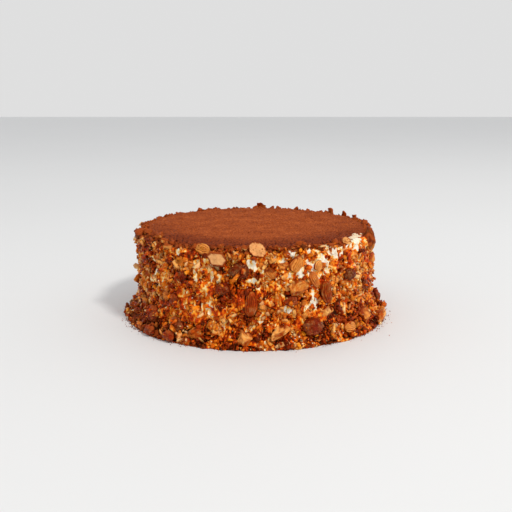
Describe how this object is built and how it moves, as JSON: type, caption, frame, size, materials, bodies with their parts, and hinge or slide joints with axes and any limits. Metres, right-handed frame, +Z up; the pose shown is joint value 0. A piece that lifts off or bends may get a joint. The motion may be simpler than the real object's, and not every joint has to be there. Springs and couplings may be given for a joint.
{
  "type": "tiramisu cake",
  "caption": "Round tiramisu cake with a cocoa-dusted flat top and a cream-coated side pressed all over with chopped caramelised almonds",
  "frame": {"origin": "middle of the underside", "axes": "+Z up, -Y towards the side that the picture shows, +X to its right"},
  "size_m": [0.2285, 0.2151, 0.0823],
  "materials": {
    "cream_coat": "moist cream stained by caramel, under a crust of chopped nuts",
    "cocoa_powder": "dry matte powder",
    "almond_flesh": "toasted golden kernel, satin",
    "almond_skin": "brown skin under thin caramel, glossy",
    "dark_praline": "dark hard caramel, glossy"
  },
  "bodies": {
    "root": {"almond_01": "almond_skin", "almond_02": "almond_skin", "almond_03": "almond_skin", "almond_04": "almond_skin", "almond_05": "almond_skin", "almond_06": "almond_skin", "almond_chunk_01": "almond_flesh", "almond_chunk_02": "almond_flesh", "almond_chunk_03": "almond_flesh", "almond_chunk_04": "almond_flesh", "almond_chunk_05": "almond_flesh", "almond_chunk_06": "almond_flesh", "almond_chunk_07": "almond_flesh", "almond_chunk_08": "almond_flesh", "almond_chunk_09": "almond_flesh", "almond_chunk_10": "almond_flesh", "almond_chunk_11": "almond_flesh", "almond_chunk_12": "almond_flesh", "almond_chunk_13": "almond_flesh", "almond_chunk_14": "almond_flesh", "almond_chunk_15": "almond_flesh", "almond_half_01": "almond_flesh", "almond_half_02": "almond_flesh", "almond_half_03": "almond_flesh", "almond_half_04": "almond_flesh", "almond_half_05": "almond_flesh", "almond_half_06": "almond_flesh", "almond_half_07": "almond_flesh", "almond_half_08": "almond_flesh", "almond_half_09": "almond_flesh", "almond_half_10": "almond_flesh", "almond_slab_01": "almond_flesh", "almond_slab_02": "almond_flesh", "almond_slab_03": "almond_flesh", "almond_slice_01": "almond_flesh", "almond_sliver_01": "almond_flesh", "almond_sliver_02": "almond_flesh", "almond_sliver_03": "almond_flesh", "cake": "cream_coat", "cocoa_top": "cocoa_powder", "praline_lump_01": "dark_praline", "praline_lump_02": "dark_praline", "praline_lump_03": "dark_praline", "praline_lump_04": "dark_praline", "praline_lump_05": "dark_praline", "praline_lump_06": "dark_praline", "praline_lump_07": "dark_praline", "praline_lump_08": "dark_praline", "praline_lump_09": "dark_praline", "praline_lump_10": "dark_praline", "praline_lump_11": "dark_praline", "praline_lump_12": "dark_praline", "praline_lump_13": "dark_praline", "praline_lump_14": "dark_praline", "praline_lump_15": "dark_praline", "praline_lump_16": "dark_praline", "praline_lump_17": "dark_praline", "praline_lump_18": "dark_praline", "praline_lump_19": "dark_praline", "praline_lump_20": "dark_praline"}
  },
  "joints": []
}
